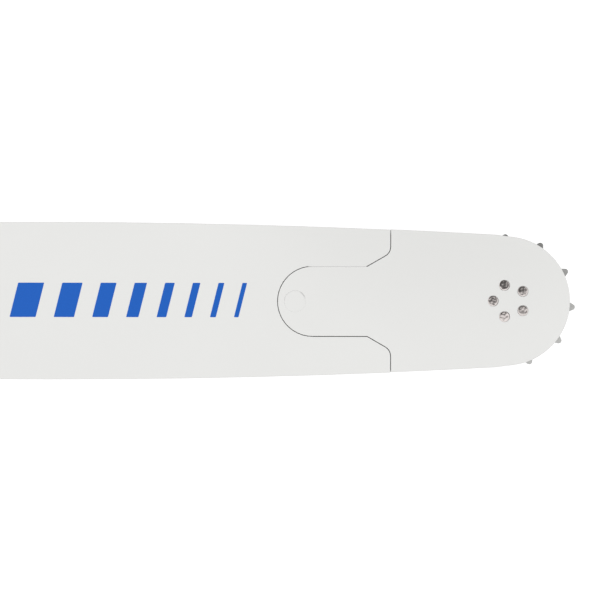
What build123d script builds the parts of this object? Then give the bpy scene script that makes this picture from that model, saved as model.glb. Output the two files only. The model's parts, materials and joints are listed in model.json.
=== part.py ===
from build123d import *
import os
from math import acos, atan2, cos, hypot, pi, radians, sin, sqrt, tan

# Chainsaw guide bar with a replaceable sprocket nose, lying flat, in millimetres.
# The origin is the middle of the stud slot on the lower face. +X points at the nose,
# +Y goes across the bar and +Z goes up through its thickness.

# Chain that the bar guides
CHAIN_PITCH = 9.525  # mean distance between neighbouring chain rivets, 3/8 inch
GROOVE_WIDTH = 1.65  # takes drive links of 1.6 mm gauge; the nose's core is as thick
GROOVE_DEPTH = 8.0

# Bar blank
BAR_THICKNESS = 4.8
BAR_WIDTH = 75.6  # at the belly
TAIL_WIDTH = 63.0  # at the tail end, before its corners are rounded
SLOT_TO_NOSE = 502.0  # middle of the stud slot to the sprocket's axis
SLOT_TO_TAIL_END = 50.0
BELLY_TO_NOSE = 220.0  # widest place to the sprocket's axis
TAIL_CORNER_RADIUS = 18.0
EDGE_BREAK = 0.2  # chamfer along the rails, on bar and nose

# Stud mount in the tail
STUD_SLOT_WIDTH = 12.2
STUD_SLOT_LENGTH = 72.0
TENSIONER_HOLE_DIAMETER = 8.2
TENSIONER_HOLE_X = 4.0
TENSIONER_HOLE_Y = 17.5
OIL_HOLE_DIAMETER = 3.6
OIL_HOLE_X = 27.0
OIL_HOLE_INSET = 7.2  # from the rail to the hole's middle, so that it opens into the groove

# Nose outline
RAIL_BELOW_PITCH_LINE = 4.35  # rail at the very tip, inside the circle of the chain's rivets
NOSE_ARC_SETBACK = 1.9  # centre of the nose's arc behind the sprocket's axis
RAMP_LENGTH = 4.9  # straight ramp's start, behind the centre of the nose's arc
RAMP_RISE = 0.85  # ramp's start, outside the nose's arc

# Joint between nose and bar
TONGUE_WIDTH = 33.3
TONGUE_REACH = 111.2  # round end of the tongue to the sprocket's axis
NECK_TO_AXIS = 68.3  # end of the tongue's straight sides to the sprocket's axis
SHOULDER_TO_AXIS = 56.9
SHOULDER_SLANT = 30.0  # degrees
SHOULDER_RADIUS = 5.3
SEAM_GAP = 0.37  # clearance round the tongue and along the shoulders
SEAT_GAP = 0.07  # clearance along the tongue's +Y side, where the bar seats the nose
SEAT_LENGTH = 28.2
JOINT_OFFSET = -0.15  # middle of tongue and socket, across from the bar's middle line
NOSE_OFFSET = 0.15  # sprocket's axis and nose's rails, across from the bar's middle line
RIB_DEPTH = 2.0  # how far the core plate reaches past the tongue's sides, into the bar
RIB_CLEARANCE = 0.15

# Core between the nose's plates
CORE_TO_TAB_CLEARANCE = 0.3
SPROCKET_POCKET_CLEARANCE = 0.8

# Sprocket and its bearing
TOOTH_COUNT = 11
TOOTH_PHASE = 92.8  # degrees, direction of one tooth
TIP_BELOW_PITCH_LINE = 1.2
TOOTH_TIP_ROUND = 1.4
TOOTH_FLANK_ANGLE = 27.0  # degrees from the tooth's own middle line
GULLET_RADIUS = 2.5
ROLLER_COUNT = 24
ROLLER_DIAMETER = 3.5
ROLLER_SPACING = 0.1  # between neighbouring rollers
RACE_CLEARANCE = 0.03  # between a roller and either race
SIDE_PLAY = 0.05  # above and below the sprocket, a roller or a rib

# Rivets, peened flush with both faces
HUB_RIVET_COUNT = 5
HUB_RIVET_CIRCLE = 15.8
HUB_RIVET_DIAMETER = 5.2
TAIL_RIVET_TO_TONGUE_END = 8.2
TAIL_RIVET_DIAMETER = 10.3
RIVET_CLEARANCE = 0.05

# Places and sizes that follow
mid_z = BAR_THICKNESS / 2
plate_thickness = (BAR_THICKNESS - GROOVE_WIDTH) / 2
belly_x = SLOT_TO_NOSE - BELLY_TO_NOSE
pitch_radius = CHAIN_PITCH / (2 * sin(pi / (2 * TOOTH_COUNT)))
nose_tip = pitch_radius - RAIL_BELOW_PITCH_LINE
nose_arc_radius = nose_tip + NOSE_ARC_SETBACK
nose_arc_x = SLOT_TO_NOSE - NOSE_ARC_SETBACK
tooth_tip_radius = pitch_radius - TIP_BELOW_PITCH_LINE
roller_radius = ROLLER_DIAMETER / 2
roller_circle_radius = (ROLLER_DIAMETER + ROLLER_SPACING) / (2 * sin(pi / ROLLER_COUNT))
hub_radius = roller_circle_radius - roller_radius - RACE_CLEARANCE
sprocket_bore_radius = roller_circle_radius + roller_radius + RACE_CLEARANCE
tab_end_x = TONGUE_WIDTH / 2 - TONGUE_REACH  # tab's end, from the sprocket's axis
at_nose = Pos(SLOT_TO_NOSE, NOSE_OFFSET, 0)
at_joint = Pos(SLOT_TO_NOSE, JOINT_OFFSET, 0)


def slab(face, low, high):
    """The face as a plate between two heights."""
    return Pos(0, 0, low) * extrude(face, high - low)


def middle_slab(face, thickness):
    """The face as a plate of that thickness, half way up the bar."""
    return slab(face, mid_z - thickness / 2, mid_z + thickness / 2)


def tail_half_width(x):
    """Half the bar's width at x, between the tail end and the belly."""
    drop = (BAR_WIDTH - TAIL_WIDTH) / 2
    run = belly_x + SLOT_TO_TAIL_END
    radius = (run**2 + drop**2) / (2 * drop)
    return BAR_WIDTH / 2 - radius + sqrt(radius**2 - (belly_x - x) ** 2)


def rail_outline(inset=0.0):
    """Plan of the bar to its rails, or a line inset from them that runs out past the tail end."""
    nose_radius = nose_arc_radius - inset
    tail = Vector(-SLOT_TO_TAIL_END - inset, TAIL_WIDTH / 2 - inset)
    belly = Vector(belly_x, BAR_WIDTH / 2 - inset)
    ramp = Vector(nose_arc_x - RAMP_LENGTH, nose_radius + RAMP_RISE)
    tip = Vector(nose_arc_x + nose_radius, 0)
    ramp_distance = hypot(RAMP_LENGTH, ramp.Y)
    landing_angle = atan2(ramp.Y, -RAMP_LENGTH) - acos(nose_radius / ramp_distance)
    landing = Vector(nose_arc_x + nose_radius * cos(landing_angle), nose_radius * sin(landing_angle))
    half = Curve() + [
        TangentArc(belly, tail, tangent=(-1, 0)),
        TangentArc(belly, ramp, tangent=(1, 0)),
        Line(ramp, landing),
    ]
    lower_landing = Vector(landing.X, -landing.Y)
    lower_tail = Vector(tail.X, -tail.Y)
    ends = [ThreePointArc(landing, tip, lower_landing), Line(lower_tail, tail)]
    return make_face((half + mirror(half, about=Plane.XZ) + ends).edges())


def tongue_outline():
    """Plan of the nose's side of the joint, from its round end to well past the tip."""
    half_width = TONGUE_WIDTH / 2
    slant_rise = (NECK_TO_AXIS - SHOULDER_TO_AXIS) * tan(radians(SHOULDER_SLANT))
    neck = Vector(-NECK_TO_AXIS, half_width)
    shoulder = Vector(-SHOULDER_TO_AXIS, half_width + slant_rise)
    beyond_rail = Vector(-SHOULDER_TO_AXIS, BAR_WIDTH)
    beyond_tip = Vector(BAR_WIDTH, BAR_WIDTH)
    half = Polyline((tab_end_x, half_width), neck, shoulder, beyond_rail, beyond_tip)
    round_end = ThreePointArc((tab_end_x, half_width), (-TONGUE_REACH, 0), (tab_end_x, -half_width))
    far_side = Line(beyond_tip, (beyond_tip.X, -beyond_tip.Y))
    outline = make_face((half + mirror(half, about=Plane.XZ) + round_end + far_side).edges())
    shoulder_line = outline.vertices().group_by(Axis.X)[-2]
    corners = [corner for corner in shoulder_line if abs(corner.Y) < BAR_WIDTH]
    return fillet(corners, SHOULDER_RADIUS)


def beyond_tab(clearance=0.0):
    """Half plane on the nose's side of the bar's tab, seen from the sprocket's axis."""
    reach = SLOT_TO_NOSE
    return Pos(tab_end_x + clearance + reach / 2, 0) * Rectangle(reach, reach)


def seat():
    """Strip by which the bar stands nearer to the tongue, along its +Y side from the neck back."""
    strip = Rectangle(SEAT_LENGTH, SEAM_GAP, align=(Align.MAX, Align.MIN))
    return Pos(-NECK_TO_AXIS - SEAM_GAP, TONGUE_WIDTH / 2 + SEAT_GAP) * strip


def rail_slab(low, high, *broken_levels):
    """The bar's whole plan as a plate, with its outer edges broken at these heights."""
    outline = rail_outline()
    outline = fillet(outline.vertices().group_by(Axis.X)[0], TAIL_CORNER_RADIUS)
    plate = slab(outline, low, high)
    edges = ShapeList()
    for level in broken_levels:
        edges += plate.edges().filter_by_position(Axis.Z, level, level)
    return chamfer(edges, EDGE_BREAK)


def pin(diameter):
    """Round pin, or the hole for one, through the bar's whole thickness."""
    return slab(Circle(diameter / 2), 0, BAR_THICKNESS)


def rivet(hole_diameter):
    """Rivet that fills a hole of that diameter."""
    return pin(hole_diameter - 2 * RIVET_CLEARANCE)


def hub_rivet_places():
    return at_nose * PolarLocations(HUB_RIVET_CIRCLE / 2, HUB_RIVET_COUNT, start_angle=180)


def tail_rivet_place():
    return at_joint * Pos(TAIL_RIVET_TO_TONGUE_END - TONGUE_REACH, 0, 0)


def bar_body():
    tongue = tongue_outline()
    socket = at_joint * (offset(tongue, SEAM_GAP, kind=Kind.INTERSECTION) - seat())
    rib_pocket = at_joint * (offset(tongue, RIB_DEPTH + RIB_CLEARANCE, kind=Kind.INTERSECTION) & beyond_tab())
    tab = at_joint * (offset(tongue, RIB_DEPTH, kind=Kind.INTERSECTION) - beyond_tab())
    around = Pos(SLOT_TO_NOSE / 2, 0) * Rectangle(2 * SLOT_TO_NOSE, 2 * BAR_WIDTH)
    oil_hole_y = tail_half_width(OIL_HOLE_X) - OIL_HOLE_INSET
    cuts = socket + SlotOverall(STUD_SLOT_LENGTH, STUD_SLOT_WIDTH)
    for side in (1, -1):
        cuts += Pos(TENSIONER_HOLE_X, side * TENSIONER_HOLE_Y) * Circle(TENSIONER_HOLE_DIAMETER / 2)
        cuts += Pos(OIL_HOLE_X, side * oil_hole_y) * Circle(OIL_HOLE_DIAMETER / 2)
    body = rail_slab(0, BAR_THICKNESS, 0, BAR_THICKNESS) - slab(cuts, 0, BAR_THICKNESS)
    body -= middle_slab(around - rail_outline(GROOVE_DEPTH), GROOVE_WIDTH)
    body -= middle_slab(rib_pocket, GROOVE_WIDTH + 2 * SIDE_PLAY)
    body += middle_slab(tab, GROOVE_WIDTH)
    return body - tail_rivet_place() * pin(TAIL_RIVET_DIAMETER)


def nose_plate(low, high, outer_level):
    plate = Pos(0, NOSE_OFFSET, 0) * rail_slab(low, high, outer_level)
    plate &= slab(at_joint * tongue_outline(), low, high)
    for place in hub_rivet_places():
        plate -= place * pin(HUB_RIVET_DIAMETER)
    return plate - tail_rivet_place() * pin(TAIL_RIVET_DIAMETER)


def nose_core():
    ribbed = offset(tongue_outline(), RIB_DEPTH, kind=Kind.INTERSECTION) & beyond_tab(CORE_TO_TAB_CLEARANCE)
    pocket = Circle(tooth_tip_radius + SPROCKET_POCKET_CLEARANCE)
    plan = (Pos(0, NOSE_OFFSET) * rail_outline(GROOVE_DEPTH)) & (at_joint * ribbed)
    return middle_slab(plan - at_nose * pocket, GROOVE_WIDTH)


def nose_sprocket():
    flank = radians(TOOTH_FLANK_ANGLE)
    half_pitch = 180 / TOOTH_COUNT
    sharp_tip = tooth_tip_radius + TOOTH_TIP_ROUND * (1 / sin(flank) - 1)
    sharp_root = sharp_tip * sin(flank) / sin(flank + radians(half_pitch))
    corners = []
    for tooth in range(TOOTH_COUNT):
        direction = TOOTH_PHASE + 2 * half_pitch * tooth
        corners.append(Vector(sharp_tip, 0).rotate(Axis.Z, direction))
        corners.append(Vector(sharp_root, 0).rotate(Axis.Z, direction + half_pitch))
    star = make_face(Polyline(*corners, close=True))
    star = fillet(star.vertices().sort_by_distance((0, 0))[TOOTH_COUNT:], TOOTH_TIP_ROUND)
    star = fillet(star.vertices().sort_by_distance((0, 0))[:TOOTH_COUNT], GULLET_RADIUS)
    star -= Circle(sprocket_bore_radius)
    return middle_slab(at_nose * star, GROOVE_WIDTH - 2 * SIDE_PLAY)


def bearing_hub():
    hub = middle_slab(at_nose * Circle(hub_radius), GROOVE_WIDTH)
    for place in hub_rivet_places():
        hub -= place * pin(HUB_RIVET_DIAMETER)
    return hub


def hub_rivets():
    one = rivet(HUB_RIVET_DIAMETER)
    return Compound([place * one for place in hub_rivet_places()])


def tail_rivet():
    return tail_rivet_place() * rivet(TAIL_RIVET_DIAMETER)


def rollers():
    one = middle_slab(Circle(roller_radius), GROOVE_WIDTH - 2 * SIDE_PLAY)
    return [place * one for place in at_nose * PolarLocations(roller_circle_radius, ROLLER_COUNT)]


pieces = {
    "bar_body": bar_body(),
    "nose_plate_upper": nose_plate(BAR_THICKNESS - plate_thickness, BAR_THICKNESS, BAR_THICKNESS),
    "nose_plate_lower": nose_plate(0, plate_thickness, 0),
    "nose_core": nose_core(),
    "nose_sprocket": nose_sprocket(),
    "bearing_hub": bearing_hub(),
    "hub_rivets": hub_rivets(),
    "tail_rivet": tail_rivet(),
}
for number, roller in enumerate(rollers(), start=1):
    pieces[f"roller_{number:02d}"] = roller

os.makedirs("parts", exist_ok=True)
for name, solid in pieces.items():
    export_step(solid, f"parts/{name}.step")
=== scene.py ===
import json
import random
from math import cos, pi, radians, sin, sqrt, tan, tau

import bmesh
import bpy
from bpy.props import FloatProperty, FloatVectorProperty, IntProperty, PointerProperty
from bpy.types import Operator, Panel, PropertyGroup
from mathutils import Matrix, Vector, noise


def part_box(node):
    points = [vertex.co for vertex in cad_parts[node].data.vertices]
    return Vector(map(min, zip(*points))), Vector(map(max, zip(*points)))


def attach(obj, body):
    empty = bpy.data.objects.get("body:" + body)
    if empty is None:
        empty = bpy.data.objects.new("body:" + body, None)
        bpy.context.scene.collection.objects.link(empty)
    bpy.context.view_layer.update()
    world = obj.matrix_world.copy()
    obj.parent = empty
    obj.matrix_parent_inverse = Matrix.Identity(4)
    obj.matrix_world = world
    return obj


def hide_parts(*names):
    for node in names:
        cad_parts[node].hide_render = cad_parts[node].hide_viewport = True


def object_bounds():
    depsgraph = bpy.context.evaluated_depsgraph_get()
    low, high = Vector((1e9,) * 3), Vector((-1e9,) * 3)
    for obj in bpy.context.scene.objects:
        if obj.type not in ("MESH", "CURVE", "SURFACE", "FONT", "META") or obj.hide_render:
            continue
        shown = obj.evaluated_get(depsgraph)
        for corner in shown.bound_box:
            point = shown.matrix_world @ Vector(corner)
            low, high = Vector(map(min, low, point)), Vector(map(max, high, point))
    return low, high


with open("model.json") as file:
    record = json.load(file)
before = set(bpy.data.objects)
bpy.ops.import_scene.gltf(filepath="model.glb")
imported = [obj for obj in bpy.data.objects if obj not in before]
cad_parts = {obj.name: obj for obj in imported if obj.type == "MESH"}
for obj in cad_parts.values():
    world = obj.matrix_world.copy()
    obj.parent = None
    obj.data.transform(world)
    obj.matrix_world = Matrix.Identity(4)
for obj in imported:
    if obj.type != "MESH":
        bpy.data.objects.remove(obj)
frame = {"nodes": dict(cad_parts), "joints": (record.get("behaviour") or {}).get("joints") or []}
cad_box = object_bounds()

bl_info = {
    "name": "Guide Bar Finish",
    "version": (1, 0, 0),
    "blender": (4, 5, 0),
    "location": "3D View > Sidebar > Guide Bar",
    "description": "Paint, print, rivet heads and studio for a guide bar with a sprocket nose",
    "category": "Object",
}

MM = 0.001

# Places that the frame gives
nose_axis = Vector(next(joint["pos_m"] for joint in frame["joints"] if joint["name"] == "sprocket_spin"))
upper_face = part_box("bar_body")[1].z
middle_height = upper_face / 2
groove_low, groove_high = (corner.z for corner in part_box("nose_core"))
belly_x = (cad_box[0].x + cad_box[1].x) / 2
tongue_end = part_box("nose_plate_upper")[0].x
bar_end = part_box("bar_body")[1].x
roller_nodes = sorted(name for name in frame["nodes"] if name.startswith("roller_"))

# Nodes by finish
PAINTED_NODES = ("bar_body", "nose_plate_upper", "nose_plate_lower")
GROUND_NODES = ("nose_sprocket",)
# The core is dark with old oil and painted shade
OIL_AND_SHADE_NODES = ("nose_core",)
BEARING_NODES = ("bearing_hub", *roller_nodes)

HUB_RIVETS = 5

# Fineness of the meshes
PIN_RINGS = 26
PIN_SIDES = 96
CORNER_POINTS = 5
FLOOR_SIDES = 128

# Sockets of a mix node, which have the same names for numbers and colours
FACTOR = 0
NUMBER_A, NUMBER_B, MIXED_NUMBER = 2, 3, 0
COLOUR_A, COLOUR_B, MIXED_COLOUR = 6, 7, 2


def linear(hex_colour):
    """Linear RGB of an sRGB hex colour such as #155DBC."""
    shares = [int(hex_colour[place:place + 2], 16) / 255 for place in (1, 3, 5)]
    return tuple(s / 12.92 if s <= 0.04045 else ((s + 0.055) / 1.055) ** 2.4 for s in shares)


class CoatSettings(PropertyGroup):
    """Paint on the bar's faces, and where it is ground off along the rails."""

    paint: FloatVectorProperty(
        name="Paint", description="Colour of the powder coat",
        default=linear("#E4E4E2"), subtype="COLOR", min=0, max=1,
    )
    cloud_size: FloatProperty(
        name="Clouds", description="Size of the faint clouds that uneven spraying leaves",
        default=45 * MM, unit="LENGTH",
    )
    peel_spacing: FloatProperty(
        name="Orange peel", description="Distance between the soft bumps in the paint",
        default=1.6 * MM, unit="LENGTH",
    )
    peel_height: FloatProperty(
        name="Peel height", description="Height of the soft bumps in the paint",
        default=0.004 * MM, unit="LENGTH",
    )
    rail_inset: FloatProperty(
        name="Rail zone", description="Distance from the middle line past which edge faces are bare",
        default=23 * MM, unit="LENGTH",
    )
    groove_margin: FloatProperty(
        name="Groove margin", description="How far past the groove's walls a face still counts as its own",
        default=0.05 * MM, unit="LENGTH",
    )


class SteelSettings(PropertyGroup):
    """Bare steels of the rails, the sprocket, the rivets and the bearing, and the oil on them; the oil's
    near-black also paints the shade in the nose's joint.
    """

    ground: FloatVectorProperty(
        name="Ground steel", description="Colour of the ground rails and sprocket",
        default=linear("#C1C1BF"), subtype="COLOR", min=0, max=1,
    )
    # Near-black of the joint between nose and bar: painted shade down the narrow gap, with old oil
    oil_and_joint_shade: FloatVectorProperty(
        name="Grime", description="Colour of the old oil in the joint between nose and bar",
        default=linear("#1E1C1A"), subtype="COLOR", min=0, max=1,
    )
    peened: FloatVectorProperty(
        name="Rivet steel", description="Colour of the peened rivet heads",
        default=linear("#E8E0DD"), subtype="COLOR", min=0, max=1,
    )
    hardened: FloatVectorProperty(
        name="Bearing steel", description="Colour of the hub and the rollers",
        default=linear("#C4C5C8"), subtype="COLOR", min=0, max=1,
    )
    # Real grinding lines are some 0.05 mm apart, too fine to show, so they are drawn coarser
    streak_spacing: FloatProperty(
        name="Grinding lines", description="Distance between the lines that grinding leaves",
        default=0.35 * MM, unit="LENGTH",
    )
    streak_length: FloatProperty(
        name="Line length", description="Length of one grinding line",
        default=14 * MM, unit="LENGTH",
    )
    rail_streak_depth: FloatProperty(
        name="Rail line depth", description="Depth of the grinding lines on the rails",
        default=0.01 * MM, unit="LENGTH",
    )
    sprocket_streak_depth: FloatProperty(
        name="Sprocket line depth", description="Depth of the grinding lines on the sprocket",
        default=0.008 * MM, unit="LENGTH",
    )
    film_patch: FloatProperty(
        name="Oil film", description="Width of one patch of the oil film",
        default=2 * MM, unit="LENGTH",
    )
    # Reach and margin of the old oil and painted shade in the nose's joint
    oil_and_shade_reach: FloatProperty(
        name="Oil reach", description="Distance from the middle line up to which the nose's joint is oily",
        default=33 * MM, unit="LENGTH",
    )
    oil_and_shade_margin: FloatProperty(
        name="Oil margin", description="How far the oil reaches past both ends of the nose's joint",
        default=1 * MM, unit="LENGTH",
    )


class PrintSettings(PropertyGroup):
    """Row of slanted stripes printed on the upper face."""

    ink: FloatVectorProperty(
        name="Ink", description="Colour of the screen print",
        default=linear("#155DBC"), subtype="COLOR", min=0, max=1,
    )
    # The threads of a printing screen are some 0.2 mm apart, too fine to show, so they are drawn coarser
    mesh_spacing: FloatProperty(
        name="Screen marks", description="Distance between the marks that the printing screen leaves",
        default=0.8 * MM, unit="LENGTH",
    )
    start: FloatProperty(
        name="Start", description="Tail end of the row, from the stud slot's middle",
        default=262 * MM, unit="LENGTH",
    )
    length: FloatProperty(
        name="Length", description="Length of the row along the bar",
        default=114 * MM, unit="LENGTH",
    )
    height: FloatProperty(
        name="Height", description="Height of a stripe across the bar",
        default=16.5 * MM, unit="LENGTH",
    )
    middle: FloatProperty(
        name="Middle", description="Middle of the row, off the bar's middle line",
        default=0.4 * MM, unit="LENGTH",
    )
    count: IntProperty(name="Stripes", description="Number of stripes", default=8, min=2)
    first_width: FloatProperty(
        name="First width", description="Width of the widest stripe, at the tail end",
        default=12.5 * MM, unit="LENGTH",
    )
    last_width: FloatProperty(
        name="Last width", description="Width of the thinnest stripe, towards the nose",
        default=2.2 * MM, unit="LENGTH",
    )
    slant: FloatProperty(
        name="Slant", description="Lean of the stripes towards the nose",
        default=radians(14), unit="ROTATION",
    )
    corner: FloatProperty(
        name="Corner", description="Length that a stripe's rounded corner takes off each side",
        default=0.4 * MM, unit="LENGTH",
    )
    thickness: FloatProperty(
        name="Ink thickness", description="Thickness of the printed ink",
        default=0.02 * MM, unit="LENGTH",
    )


class RivetSettings(PropertyGroup):
    """Peened heads of the hub's rivets, and the paint over the tail rivet."""

    seed: IntProperty(
        name="Peening", description="Seed of the draws that make the heads differ", default=6,
    )
    lean: FloatProperty(
        name="Lean", description="Most that a head leans",
        default=radians(2), unit="ROTATION",
    )
    heading: FloatProperty(
        name="Heading", description="Direction that the heads lean to on the whole, from +X",
        default=radians(110), unit="ROTATION",
    )
    heading_spread: FloatProperty(
        name="Heading spread", description="Most that a head leans aside from that direction",
        default=radians(70), unit="ROTATION",
    )
    crown: FloatProperty(
        name="Crown", description="Most that a head's middle stands over its edge, or is dished below it",
        default=0.05 * MM, unit="LENGTH",
    )
    dent_spacing: FloatProperty(
        name="Dents", description="Distance between the peening dents",
        default=1.1 * MM, unit="LENGTH",
    )
    dent_depth: FloatProperty(
        name="Dent depth", description="Depth of the peening dents",
        default=0.03 * MM, unit="LENGTH",
    )
    edge_width: FloatProperty(
        name="Rolled edge", description="Width of the rounded edge of a head",
        default=0.6 * MM, unit="LENGTH",
    )
    edge_depth: FloatProperty(
        name="Edge depth", description="Depth of the rounded edge of a head",
        default=0.12 * MM, unit="LENGTH",
    )
    paint_bridge: FloatProperty(
        name="Paint bridge", description="How much of the tail rivet's clearance the paint closes",
        default=0.045 * MM, unit="LENGTH",
    )
    ring_depth: FloatProperty(
        name="Painted ring", description="Depth of the dip in the paint round the tail rivet",
        default=0.03 * MM, unit="LENGTH",
    )
    ring_width: FloatProperty(
        name="Ring width", description="Width of the dip in the paint round the tail rivet",
        default=0.5 * MM, unit="LENGTH",
    )
    crack_width: FloatProperty(
        name="Paint crack", description="Widest place of the crack in the paint round the tail rivet",
        default=0.12 * MM, unit="LENGTH",
    )
    crack_heading: FloatProperty(
        name="Crack place",
        description="Direction of the crack's widest place from the rivet's middle, from +X",
        default=radians(42), unit="ROTATION",
    )
    crack_spread: FloatProperty(
        name="Crack spread", description="Half the angle that the wide part of the crack takes in",
        default=radians(26), unit="ROTATION",
    )
    crack_slope: FloatProperty(
        name="Crack slope", description="Depth of the crack over its width", default=4,
    )
    hairline_width: FloatProperty(
        name="Hairline", description="Widest place of the fine crack on the rivet's other sides",
        default=0.02 * MM, unit="LENGTH",
    )
    hairline_heading: FloatProperty(
        name="Hairline place", description="Direction of the fine crack's widest place, from +X",
        default=radians(125), unit="ROTATION",
    )


class StudioSettings(PropertyGroup):
    """Camera, light and floor."""

    lens: FloatProperty(
        name="Lens", description="Focal length of the camera",
        default=35, min=10, unit="CAMERA",
    )
    view_x: FloatProperty(
        name="View X", description="Place along the bar that the camera looks down on",
        default=401.4 * MM, unit="LENGTH",
    )
    view_y: FloatProperty(
        name="View Y", description="Place across the bar that the camera looks down on",
        default=0.48 * MM, unit="LENGTH",
    )
    roll: FloatProperty(
        name="Roll", description="Turn of the camera about its line of sight",
        default=radians(0.08), unit="ROTATION",
    )
    view_width: FloatProperty(
        name="View width", description="Width that the picture takes in on the upper face",
        default=288 * MM, unit="LENGTH",
    )
    sky_light: FloatProperty(
        name="Sky light", description="Brightness of the soft light from above and all round", default=1.155,
    )
    horizon_light: FloatProperty(
        name="Horizon light", description="Brightness of the soft light level with the floor", default=0.9,
    )
    horizon_top: FloatProperty(
        name="Horizon top", description="Height at which the light reaches its full brightness",
        default=radians(30), unit="ROTATION",
    )
    dim_light: FloatProperty(
        name="Dim light", description="Brightness of the dim patch overhead", default=0.12,
    )
    dim_angle: FloatProperty(
        name="Dim patch", description="Half angle of the dim patch overhead",
        default=radians(17.8), unit="ROTATION",
    )
    dim_edge: FloatProperty(
        name="Dim patch edge", description="Width of the soft edge of the dim patch",
        default=radians(9), unit="ROTATION",
    )
    dim_lean: FloatVectorProperty(
        name="Dim patch lean", description="Lean of the dim patch from straight overhead, to +X and to +Y",
        default=(radians(14), radians(18)), size=2, unit="ROTATION",
    )
    floor: FloatVectorProperty(
        name="Floor", description="Colour of the floor",
        default=linear("#BCBCBC"), subtype="COLOR", min=0, max=1,
    )
    floor_glow: FloatProperty(
        name="Floor glow", description="Light that the floor gives by itself", default=0.7,
    )
    floor_radius: FloatProperty(
        name="Floor radius", description="Radius of the floor",
        default=30, unit="LENGTH",
    )
    floor_drop: FloatProperty(
        name="Floor drop", description="Height of the bar over the floor",
        default=0.05 * MM, unit="LENGTH",
    )


def add_node(tree, kind, inputs=(), **settings):
    """Adds a node with its settings, and sets or links its inputs."""
    node = tree.nodes.new(kind)
    for name, value in settings.items():
        setattr(node, name, value)
    for socket, value in dict(inputs).items():
        if isinstance(value, bpy.types.NodeSocket):
            tree.links.new(value, node.inputs[socket])
        else:
            node.inputs[socket].default_value = value
    return node


def new_material(name):
    """An empty material and its node tree."""
    material = bpy.data.materials.new(name)
    material.use_nodes = True
    material.node_tree.nodes.clear()
    return material, material.node_tree


def tone(colour, share=1):
    """RGBA of a colour, darker or lighter by that share."""
    return (*(share * part for part in colour), 1)


def grinding_streaks(tree, place, steel):
    """Long fine lines along X, from 0 to 1."""
    across = 1 / steel.streak_spacing
    stretched = add_node(tree, "ShaderNodeMapping", {
        "Vector": place, "Scale": (1 / steel.streak_length, across, across),
    })
    return add_node(tree, "ShaderNodeTexNoise", {
        "Vector": stretched.outputs["Vector"], "Scale": 1, "Detail": 3, "Roughness": 0.6,
    }).outputs["Fac"]


def bare_zones(tree, coords, coat, steel):
    """Where the bar and the nose's plates are bare steel, and where that steel is dark with old oil and
    painted shade in the nose's joint, from 0 to 1.
    """
    at = add_node(tree, "ShaderNodeSeparateXYZ", {"Vector": coords.outputs["Object"]}).outputs
    facing = add_node(tree, "ShaderNodeSeparateXYZ", {"Vector": coords.outputs["Normal"]}).outputs
    across = add_node(tree, "ShaderNodeMath", {0: at["Y"]}, operation="ABSOLUTE").outputs[0]
    # Edge faces and the groove's walls, which the paint doesn't cover
    flatness = add_node(tree, "ShaderNodeMath", {0: facing["Z"]}, operation="ABSOLUTE").outputs[0]
    edge = add_node(tree, "ShaderNodeMapRange", {
        "Value": flatness, "From Min": 0.95, "From Max": 0.55,
    }).outputs["Result"]
    groove = add_node(tree, "ShaderNodeMath", {
        0: at["Z"], 1: middle_height, 2: (groove_high - groove_low) / 2 + coat.groove_margin,
    }, operation="COMPARE").outputs[0]
    inner = add_node(tree, "ShaderNodeMath", {0: edge, 1: groove}, operation="MAXIMUM").outputs[0]
    # They are bare along the rails, and everywhere from the belly to the nose
    outer = add_node(tree, "ShaderNodeMath", {
        0: across, 1: coat.rail_inset,
    }, operation="GREATER_THAN").outputs[0]
    fore = add_node(tree, "ShaderNodeMath", {0: at["X"], 1: belly_x}, operation="GREATER_THAN").outputs[0]
    zone = add_node(tree, "ShaderNodeMath", {0: outer, 1: fore}, operation="MAXIMUM").outputs[0]
    bare = add_node(tree, "ShaderNodeMath", {0: zone, 1: inner}, operation="MULTIPLY").outputs[0]
    # Old oil and painted shade darken the joint round the tongue: its walls and groove down the narrow gap,
    # where shade falls
    in_length = add_node(tree, "ShaderNodeMath", {
        0: at["X"], 1: (tongue_end + bar_end) / 2, 2: (bar_end - tongue_end) / 2 + steel.oil_and_shade_margin,
    }, operation="COMPARE").outputs[0]
    in_width = add_node(tree, "ShaderNodeMath", {
        0: across, 1: steel.oil_and_shade_reach,
    }, operation="LESS_THAN").outputs[0]
    in_joint = add_node(tree, "ShaderNodeMath", {0: in_length, 1: in_width}, operation="MULTIPLY").outputs[0]
    oil_and_shade = add_node(tree, "ShaderNodeMath", {0: in_joint, 1: inner}, operation="MULTIPLY").outputs[0]
    return bare, oil_and_shade


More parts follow.
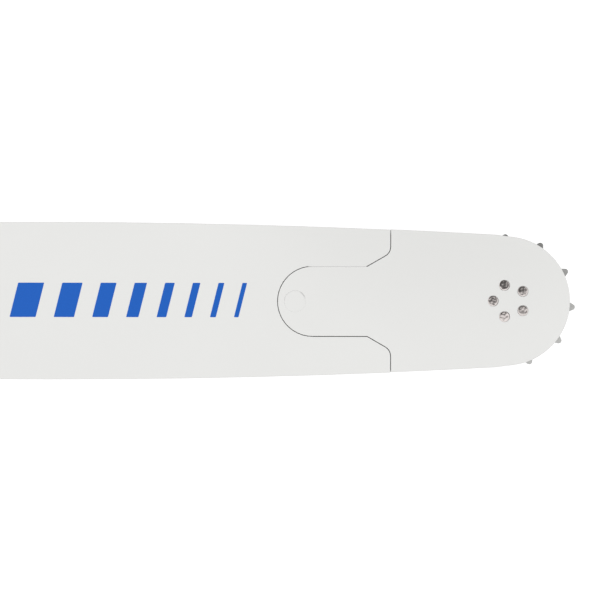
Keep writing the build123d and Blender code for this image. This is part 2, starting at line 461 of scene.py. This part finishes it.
def powder_coated_steel(coat, steel):
    """White powder coat, sprayed and baked: an even near-white with a soft broad gloss and faint
    orange peel. The rails were ground after painting, so the edges and the groove are bare steel."""
    material, tree = new_material("powder_coated_steel")
    coords = add_node(tree, "ShaderNodeTexCoord")
    place = coords.outputs["Object"]
    bare, oil_and_shade = bare_zones(tree, coords, coat, steel)
    # Colour: faint clouds in the paint, darker lines in the steel, old oil and painted shade over both in
    # the joint
    streaks = grinding_streaks(tree, place, steel)
    clouds = add_node(tree, "ShaderNodeTexNoise", {
        "Vector": place, "Scale": 1 / coat.cloud_size, "Detail": 2,
    }).outputs["Fac"]
    paint = add_node(tree, "ShaderNodeMix", {
        FACTOR: clouds, COLOUR_A: tone(coat.paint), COLOUR_B: tone(coat.paint, 0.975),
    }, data_type="RGBA").outputs[MIXED_COLOUR]
    metal = add_node(tree, "ShaderNodeMix", {
        FACTOR: streaks, COLOUR_A: tone(steel.ground, 0.75), COLOUR_B: tone(steel.ground),
    }, data_type="RGBA").outputs[MIXED_COLOUR]
    clean = add_node(tree, "ShaderNodeMix", {
        FACTOR: bare, COLOUR_A: paint, COLOUR_B: metal,
    }, data_type="RGBA").outputs[MIXED_COLOUR]
    # Near-black in the joint: painted shade down the narrow gap, with old oil
    colour = add_node(tree, "ShaderNodeMix", {
        FACTOR: oil_and_shade, COLOUR_A: clean, COLOUR_B: tone(steel.oil_and_joint_shade),
    }, data_type="RGBA").outputs[MIXED_COLOUR]
    metallic = add_node(tree, "ShaderNodeMath", {
        0: bare, 1: oil_and_shade,
    }, operation="SUBTRACT", use_clamp=True).outputs[0]
    # Relief: orange peel on the paint, grinding lines on the steel
    peel = add_node(tree, "ShaderNodeTexNoise", {
        "Vector": place, "Scale": 1 / coat.peel_spacing, "Detail": 2, "Roughness": 0.4,
    }).outputs["Fac"]
    peel_relief = add_node(tree, "ShaderNodeMath", {
        0: peel, 1: coat.peel_height,
    }, operation="MULTIPLY").outputs[0]
    line_relief = add_node(tree, "ShaderNodeMath", {
        0: streaks, 1: steel.rail_streak_depth,
    }, operation="MULTIPLY").outputs[0]
    relief = add_node(tree, "ShaderNodeMix", {
        FACTOR: bare, NUMBER_A: peel_relief, NUMBER_B: line_relief,
    }).outputs[MIXED_NUMBER]
    bump = add_node(tree, "ShaderNodeBump", {"Height": relief, "Distance": 1}).outputs["Normal"]
    # Gloss: paint shinier than ground steel, and the joint's oil, which also holds its painted shade, dull
    # with dust
    paint_roughness = add_node(tree, "ShaderNodeMapRange", {
        "Value": clouds, "To Min": 0.13, "To Max": 0.19,
    }).outputs["Result"]
    clean_roughness = add_node(tree, "ShaderNodeMix", {
        FACTOR: bare, NUMBER_A: paint_roughness, NUMBER_B: 0.36,
    }).outputs[MIXED_NUMBER]
    roughness = add_node(tree, "ShaderNodeMix", {
        FACTOR: oil_and_shade, NUMBER_A: clean_roughness, NUMBER_B: 0.7,
    }).outputs[MIXED_NUMBER]
    shader = add_node(tree, "ShaderNodeBsdfPrincipled", {
        "Base Color": colour, "Metallic": metallic, "Roughness": roughness, "IOR": 1.5, "Normal": bump,
    })
    add_node(tree, "ShaderNodeOutputMaterial", {"Surface": shader.outputs["BSDF"]})
    return material


def ground_steel(steel):
    """Hardened carbon steel, surface ground and oiled: dull grey, with fine lines one way that spread its
    gloss and a thin film of oil and dust that scatters some of the light."""
    material, tree = new_material("ground_carbon_steel")
    place = add_node(tree, "ShaderNodeTexCoord").outputs["Object"]
    streaks = grinding_streaks(tree, place, steel)
    colour = add_node(tree, "ShaderNodeMix", {
        FACTOR: streaks, COLOUR_A: tone(steel.ground, 0.7), COLOUR_B: tone(steel.ground),
    }, data_type="RGBA").outputs[MIXED_COLOUR]
    roughness = add_node(tree, "ShaderNodeMapRange", {
        "Value": streaks, "To Min": 0.18, "To Max": 0.1,
    }).outputs["Result"]
    relief = add_node(tree, "ShaderNodeMath", {
        0: streaks, 1: steel.sprocket_streak_depth,
    }, operation="MULTIPLY").outputs[0]
    bump = add_node(tree, "ShaderNodeBump", {"Height": relief, "Distance": 1}).outputs["Normal"]
    shader = add_node(tree, "ShaderNodeBsdfPrincipled", {
        "Base Color": colour, "Metallic": 0.7, "Roughness": roughness, "Normal": bump,
    })
    add_node(tree, "ShaderNodeOutputMaterial", {"Surface": shader.outputs["BSDF"]})
    return material


def oil_and_shade_steel(steel):
    """Plate steel under a film of old oil and dust: nearly black and dull, with wetter, darker patches. The
    near-black also paints the shade at the bottom of the gap between nose and bar.
    """
    material, tree = new_material("oil_and_shade_plate_steel")
    place = add_node(tree, "ShaderNodeTexCoord").outputs["Object"]
    film = add_node(tree, "ShaderNodeTexNoise", {
        "Vector": place, "Scale": 1 / steel.film_patch, "Detail": 3,
    }).outputs["Fac"]
    # Near-black: old oil, and painted shade at the bottom of the joint's gap
    colour = add_node(tree, "ShaderNodeMix", {
        FACTOR: film, COLOUR_A: tone(steel.oil_and_joint_shade, 0.6), COLOUR_B: tone(steel.oil_and_joint_shade, 1.4),
    }, data_type="RGBA").outputs[MIXED_COLOUR]
    roughness = add_node(tree, "ShaderNodeMapRange", {
        "Value": film, "To Min": 0.55, "To Max": 0.85,
    }).outputs["Result"]
    shader = add_node(tree, "ShaderNodeBsdfPrincipled", {
        "Base Color": colour, "Roughness": roughness, "Specular IOR Level": 0.3,
    })
    add_node(tree, "ShaderNodeOutputMaterial", {"Surface": shader.outputs["BSDF"]})
    return material


def peened_steel(steel, rivets):
    """Soft rivet steel, hammered over: bright and smooth, with small dents and slightly warm stains."""
    material, tree = new_material("peened_rivet_steel")
    place = add_node(tree, "ShaderNodeTexCoord").outputs["Object"]
    stains = add_node(tree, "ShaderNodeTexNoise", {
        "Vector": place, "Scale": 1 / rivets.dent_spacing, "Detail": 4,
    }).outputs["Fac"]
    colour = add_node(tree, "ShaderNodeMix", {
        FACTOR: stains, COLOUR_A: tone(steel.peened, 0.7), COLOUR_B: tone(steel.peened),
    }, data_type="RGBA").outputs[MIXED_COLOUR]
    roughness = add_node(tree, "ShaderNodeMapRange", {
        "Value": stains, "To Min": 0.16, "To Max": 0.05,
    }).outputs["Result"]
    shader = add_node(tree, "ShaderNodeBsdfPrincipled", {
        "Base Color": colour, "Metallic": 1, "Roughness": roughness,
    })
    add_node(tree, "ShaderNodeOutputMaterial", {"Surface": shader.outputs["BSDF"]})
    return material


def bearing_steel(steel):
    """Through-hardened bearing steel, ground and lapped: bright, with a clear reflection, duller where oil
    clings to it."""
    material, tree = new_material("lapped_bearing_steel")
    place = add_node(tree, "ShaderNodeTexCoord").outputs["Object"]
    film = add_node(tree, "ShaderNodeTexNoise", {
        "Vector": place, "Scale": 1 / steel.film_patch, "Detail": 3,
    }).outputs["Fac"]
    colour = add_node(tree, "ShaderNodeMix", {
        FACTOR: film, COLOUR_A: tone(steel.hardened), COLOUR_B: tone(steel.hardened, 0.85),
    }, data_type="RGBA").outputs[MIXED_COLOUR]
    roughness = add_node(tree, "ShaderNodeMapRange", {
        "Value": film, "To Min": 0.1, "To Max": 0.24,
    }).outputs["Result"]
    shader = add_node(tree, "ShaderNodeBsdfPrincipled", {
        "Base Color": colour, "Metallic": 1, "Roughness": roughness,
    })
    add_node(tree, "ShaderNodeOutputMaterial", {"Surface": shader.outputs["BSDF"]})
    return material


def printed_ink(stripes):
    """Screen-printed enamel ink: an even strong blue, a little duller than the paint under it."""
    material, tree = new_material("screen_printed_ink")
    place = add_node(tree, "ShaderNodeTexCoord").outputs["Object"]
    marks = add_node(tree, "ShaderNodeTexNoise", {
        "Vector": place, "Scale": 1 / stripes.mesh_spacing, "Detail": 2,
    }).outputs["Fac"]
    colour = add_node(tree, "ShaderNodeMix", {
        FACTOR: marks, COLOUR_A: tone(stripes.ink, 0.92), COLOUR_B: tone(stripes.ink, 1.06),
    }, data_type="RGBA").outputs[MIXED_COLOUR]
    shader = add_node(tree, "ShaderNodeBsdfPrincipled", {
        "Base Color": colour, "Roughness": 0.45, "IOR": 1.5, "Specular IOR Level": 0.2,
    })
    add_node(tree, "ShaderNodeOutputMaterial", {"Surface": shader.outputs["BSDF"]})
    return material


def glowing_paper(studio):
    """White studio paper lit from below, so that it stays white up to the bar's edge."""
    material, tree = new_material("lit_studio_paper")
    shader = add_node(tree, "ShaderNodeBsdfPrincipled", {
        "Base Color": tone(studio.floor), "Roughness": 0.9, "Specular IOR Level": 0,
        "Emission Color": (1, 1, 1, 1), "Emission Strength": studio.floor_glow,
    })
    add_node(tree, "ShaderNodeOutputMaterial", {"Surface": shader.outputs["BSDF"]})
    return material


def dress(nodes, material):
    """Gives CAD nodes a material."""
    for name in nodes:
        slots = frame["nodes"][name].data.materials
        slots.clear()
        slots.append(material)


def add_object(name, mesh, material):
    """Makes an object from a finished bmesh."""
    data = bpy.data.meshes.new(name)
    mesh.to_mesh(data)
    mesh.free()
    data.materials.append(material)
    made = bpy.data.objects.new(name, data)
    bpy.context.scene.collection.objects.link(made)
    return made


def add_piece(name, mesh, material):
    """Makes a piece that belongs to the bar from a finished bmesh."""
    bmesh.ops.recalc_face_normals(mesh, faces=mesh.faces)
    piece = add_object(name, mesh, material)
    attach(piece, "bar")
    return piece


def add_band(mesh, first, second):
    """Joins two rings by faces, triangles where a ring is one point."""
    for side in range(len(first)):
        after = (side + 1) % len(first)
        corners = [first[side], first[after], second[after], second[side]]
        mesh.faces.new(list(dict.fromkeys(corners)))


def add_pin(mesh, centre, radius, low, high, sink, turn=0):
    """Adds a closed pin between two heights. Its ends are let in by a function of share of radius and
    angle, and the pattern of the lower end is turned."""
    angles = [tau * side / PIN_SIDES for side in range(PIN_SIDES)]
    # Rings lie closer together towards the edge
    shares = [sin(pi / 2 * ring / PIN_RINGS) for ring in range(1, PIN_RINGS + 1)]
    edges = []
    for level, inward, start in ((high, -1, 0), (low, 1, turn)):
        middle = mesh.verts.new((centre.x, centre.y, level + inward * sink(0, start)))
        inner = [middle] * PIN_SIDES
        for share in shares:
            ring = [
                mesh.verts.new((
                    centre.x + radius * share * cos(angle),
                    centre.y + radius * share * sin(angle),
                    level + inward * sink(share, angle + start),
                ))
                for angle in angles
            ]
            add_band(mesh, inner, ring)
            inner = ring
        edges.append(inner)
    add_band(mesh, *edges)


def peened_end(rivets, strikes, number, radius):
    """How far a peened head lies below its highest point, as a function of share of radius and angle.
    The strikes are random draws, which give each head its own lean and crown."""
    lean = tan(strikes.uniform(0, rivets.lean))
    heading = rivets.heading + strikes.uniform(-rivets.heading_spread, rivets.heading_spread)
    crown = strikes.uniform(-rivets.crown, rivets.crown)

    def depth(share, angle):
        tilt = lean * radius * (1 + share * cos(angle - heading))
        dome = crown * share**2
        roll = max(0, share * radius - (radius - rivets.edge_width)) / rivets.edge_width
        rounding = rivets.edge_depth * (1 - sqrt(max(0, 1 - roll**2)))
        spot = Vector((share * cos(angle), share * sin(angle), number)) * radius / rivets.dent_spacing
        dents = rivets.dent_depth * (1 + noise.noise(spot))
        return tilt + dome + rounding + dents

    highest = min(
        depth(ring / PIN_RINGS, tau * side / PIN_SIDES)
        for ring in range(PIN_RINGS + 1)
        for side in range(PIN_SIDES)
    )
    return lambda share, angle: depth(share, angle) - highest


def painted_end(rivets, radius):
    """How far the tail rivet's paint lies below the face, as a function of share of radius and angle."""

    def crack(angle):
        away = abs((angle - rivets.crack_heading + pi) % tau - pi) / rivets.crack_spread
        wide = rivets.crack_width * max(0, 1 - away**2)
        fine = rivets.hairline_width * (1 + cos(angle - rivets.hairline_heading)) / 2
        return max(wide, fine)

    def depth(share, angle):
        from_edge = radius * (1 - share)
        dip = rivets.ring_depth * max(0, 1 - from_edge / rivets.ring_width) ** 2
        return dip + rivets.crack_slope * max(0, crack(angle) - from_edge)

    return depth


def add_stripe(mesh, left, width, run, stripes):
    """Adds one slanted stripe with rounded corners, standing its ink's thickness over the face."""
    low = stripes.middle - stripes.height / 2
    high = stripes.middle + stripes.height / 2
    corners = [
        Vector((left, low, upper_face)),
        Vector((left + width, low, upper_face)),
        Vector((left + width + run, high, upper_face)),
        Vector((left + run, high, upper_face)),
    ]
    outline = []
    for place, corner in enumerate(corners):
        to_last = (corners[place - 1] - corner).normalized()
        to_next = (corners[(place + 1) % len(corners)] - corner).normalized()
        for point in range(CORNER_POINTS):
            share = point / (CORNER_POINTS - 1)
            # A quadratic curve from one side to the next
            pull = stripes.corner * (to_last * (1 - share) ** 2 + to_next * share**2)
            outline.append(corner + pull)
    rise = Vector((0, 0, stripes.thickness))
    foot = [mesh.verts.new(point) for point in outline]
    top = [mesh.verts.new(point + rise) for point in outline]
    mesh.faces.new(foot)
    mesh.faces.new(top)
    add_band(mesh, foot, top)


def add_floor(studio):
    """Wide round floor, a hair below the bar."""
    mesh = bmesh.new()
    middle = Matrix.Translation((0, 0, -studio.floor_drop))
    bmesh.ops.create_circle(
        mesh, cap_ends=True, segments=FLOOR_SIDES, radius=studio.floor_radius, matrix=middle,
    )
    add_object("studio_floor", mesh, glowing_paper(studio))


def add_light(scene, studio):
    """Soft white light from all round, with a dim patch overhead where the camera stands in its way."""
    world = bpy.data.worlds.new("soft_studio")
    world.use_nodes = True
    tree = world.node_tree
    tree.nodes.clear()
    direction = add_node(tree, "ShaderNodeTexCoord").outputs["Generated"]
    height = add_node(tree, "ShaderNodeSeparateXYZ", {"Vector": direction}).outputs["Z"]
    open_sky = add_node(tree, "ShaderNodeMapRange", {
        "Value": height, "From Max": sin(studio.horizon_top),
        "To Min": studio.horizon_light, "To Max": studio.sky_light,
    }).outputs["Result"]
    patch = Vector((tan(studio.dim_lean[0]), tan(studio.dim_lean[1]), 1)).normalized()
    nearness = add_node(tree, "ShaderNodeVectorMath", {
        0: direction, 1: patch,
    }, operation="DOT_PRODUCT").outputs["Value"]
    strength = add_node(tree, "ShaderNodeMapRange", {
        "Value": nearness,
        "From Min": cos(studio.dim_angle + studio.dim_edge / 2),
        "From Max": cos(studio.dim_angle - studio.dim_edge / 2),
        "To Min": open_sky, "To Max": studio.dim_light,
    }, interpolation_type="SMOOTHSTEP").outputs["Result"]
    sky = add_node(tree, "ShaderNodeBackground", {"Color": (1, 1, 1, 1), "Strength": strength})
    add_node(tree, "ShaderNodeOutputWorld", {"Surface": sky.outputs["Background"]})
    scene.world = world
    scene.view_settings.view_transform = "Standard"
    scene.view_settings.look = "None"


def add_camera(scene, studio):
    """Camera looking straight down, with +X to the right and +Y up in the picture."""
    data = bpy.data.cameras.new("overhead_camera")
    data.lens = studio.lens
    camera = bpy.data.objects.new("overhead_camera", data)
    distance = studio.view_width * data.lens / data.sensor_width
    camera.location = (studio.view_x, studio.view_y, upper_face + distance)
    camera.rotation_euler.z = studio.roll
    scene.collection.objects.link(camera)
    scene.camera = camera


class GUIDE_BAR_OT_paint(Operator):
    """Paint the bar and the nose plates"""

    bl_idname = "guide_bar.paint"
    bl_label = "Paint Bar and Nose"

    def execute(self, context):
        scene = context.scene
        dress(PAINTED_NODES, powder_coated_steel(scene.guide_bar_coat, scene.guide_bar_steel))
        return {"FINISHED"}


class GUIDE_BAR_OT_sprocket(Operator):
    """Give the sprocket its ground steel, and the core behind it its oily one, nearly black as painted shade
    """

    bl_idname = "guide_bar.sprocket"
    bl_label = "Grind Sprocket"

    def execute(self, context):
        steel = context.scene.guide_bar_steel
        dress(GROUND_NODES, ground_steel(steel))
        # The core's near-black is painted shade down the joint's gap, with old oil
        dress(OIL_AND_SHADE_NODES, oil_and_shade_steel(steel))
        return {"FINISHED"}


class GUIDE_BAR_OT_bearing(Operator):
    """Give the hub and the rollers their polished steel"""

    bl_idname = "guide_bar.bearing"
    bl_label = "Polish Bearing"

    def execute(self, context):
        dress(BEARING_NODES, bearing_steel(context.scene.guide_bar_steel))
        return {"FINISHED"}


class GUIDE_BAR_OT_hub_rivets(Operator):
    """Make the peened rivets round the hub"""

    bl_idname = "guide_bar.hub_rivets"
    bl_label = "Peen Hub Rivets"

    def execute(self, context):
        rivets = context.scene.guide_bar_rivets
        low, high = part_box("hub_rivets")
        step = tau / HUB_RIVETS
        # The first rivet lies straight behind the axis, and the second and last are the furthest across
        reach_back = nose_axis.x - low.x
        reach_across = high.y - nose_axis.y
        circle = (reach_back - reach_across) / (1 - sin(step))
        radius = reach_back - circle
        mesh = bmesh.new()
        strikes = random.Random(rivets.seed)
        for number in range(HUB_RIVETS):
            direction = pi + step * number
            centre = nose_axis + circle * Vector((cos(direction), sin(direction), 0))
            end = peened_end(rivets, strikes, number, radius)
            add_pin(mesh, centre, radius, low.z, high.z, end, turn=pi)
        steel = peened_steel(context.scene.guide_bar_steel, rivets)
        piece = add_piece("hub_rivet_heads", mesh, steel)
        piece.data.shade_smooth()
        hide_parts("hub_rivets")
        return {"FINISHED"}


class GUIDE_BAR_OT_tail_rivet(Operator):
    """Make the painted-over rivet in the nose's tongue"""

    bl_idname = "guide_bar.tail_rivet"
    bl_label = "Paint Tail Rivet"

    def execute(self, context):
        rivets = context.scene.guide_bar_rivets
        low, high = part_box("tail_rivet")
        centre = (low + high) / 2
        radius = (high.x - low.x) / 2 + rivets.paint_bridge
        mesh = bmesh.new()
        add_pin(mesh, centre, radius, low.z, high.z, painted_end(rivets, radius))
        paint = frame["nodes"]["bar_body"].data.materials[0]
        piece = add_piece("tail_rivet_painted", mesh, paint)
        piece.data.shade_smooth()
        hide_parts("tail_rivet")
        return {"FINISHED"}


class GUIDE_BAR_OT_stripes(Operator):
    """Print the slanted stripes on the upper face"""

    bl_idname = "guide_bar.stripes"
    bl_label = "Print Stripes"

    def execute(self, context):
        stripes = context.scene.guide_bar_print
        taper = (stripes.last_width / stripes.first_width) ** (1 / (stripes.count - 1))
        widths = [stripes.first_width * taper**number for number in range(stripes.count)]
        run = stripes.height * tan(stripes.slant)
        gap = (stripes.length - run - sum(widths)) / (stripes.count - 1)
        mesh = bmesh.new()
        left = stripes.start
        for width in widths:
            add_stripe(mesh, left, width, run, stripes)
            left += width + gap
        add_piece("blue_stripes", mesh, printed_ink(stripes))
        return {"FINISHED"}


class GUIDE_BAR_OT_stage(Operator):
    """Set up the floor, the light and the camera"""

    bl_idname = "guide_bar.stage"
    bl_label = "Set Up Studio"

    def execute(self, context):
        studio = context.scene.guide_bar_studio
        add_floor(studio)
        add_light(context.scene, studio)
        add_camera(context.scene, studio)
        return {"FINISHED"}


SETTINGS = {
    "guide_bar_coat": CoatSettings,
    "guide_bar_steel": SteelSettings,
    "guide_bar_print": PrintSettings,
    "guide_bar_rivets": RivetSettings,
    "guide_bar_studio": StudioSettings,
}
STEPS = (
    GUIDE_BAR_OT_paint,
    GUIDE_BAR_OT_sprocket,
    GUIDE_BAR_OT_bearing,
    GUIDE_BAR_OT_hub_rivets,
    GUIDE_BAR_OT_tail_rivet,
    GUIDE_BAR_OT_stripes,
    GUIDE_BAR_OT_stage,
)


class GUIDE_BAR_PT_panel(Panel):
    """Lists the steps that dress the bar, and their settings"""

    bl_idname = "GUIDE_BAR_PT_panel"
    bl_label = "Guide Bar"
    bl_space_type = "VIEW_3D"
    bl_region_type = "UI"
    bl_category = "Guide Bar"

    def draw(self, context):
        for step in STEPS:
            self.layout.operator(step.bl_idname)
        for group, kind in SETTINGS.items():
            for name in kind.__annotations__:
                self.layout.prop(getattr(context.scene, group), name)


def register():
    for group, kind in SETTINGS.items():
        bpy.utils.register_class(kind)
        setattr(bpy.types.Scene, group, PointerProperty(type=kind))
    for kind in (*STEPS, GUIDE_BAR_PT_panel):
        bpy.utils.register_class(kind)


def unregister():
    for kind in (GUIDE_BAR_PT_panel, *reversed(STEPS)):
        bpy.utils.unregister_class(kind)
    for group, kind in SETTINGS.items():
        delattr(bpy.types.Scene, group)
        bpy.utils.unregister_class(kind)


def main():
    register()
    bpy.ops.guide_bar.paint()
    bpy.ops.guide_bar.sprocket()
    bpy.ops.guide_bar.bearing()
    bpy.ops.guide_bar.hub_rivets()
    bpy.ops.guide_bar.tail_rivet()
    bpy.ops.guide_bar.stripes()
    bpy.ops.guide_bar.stage()


if __name__ == "__main__":
    main()
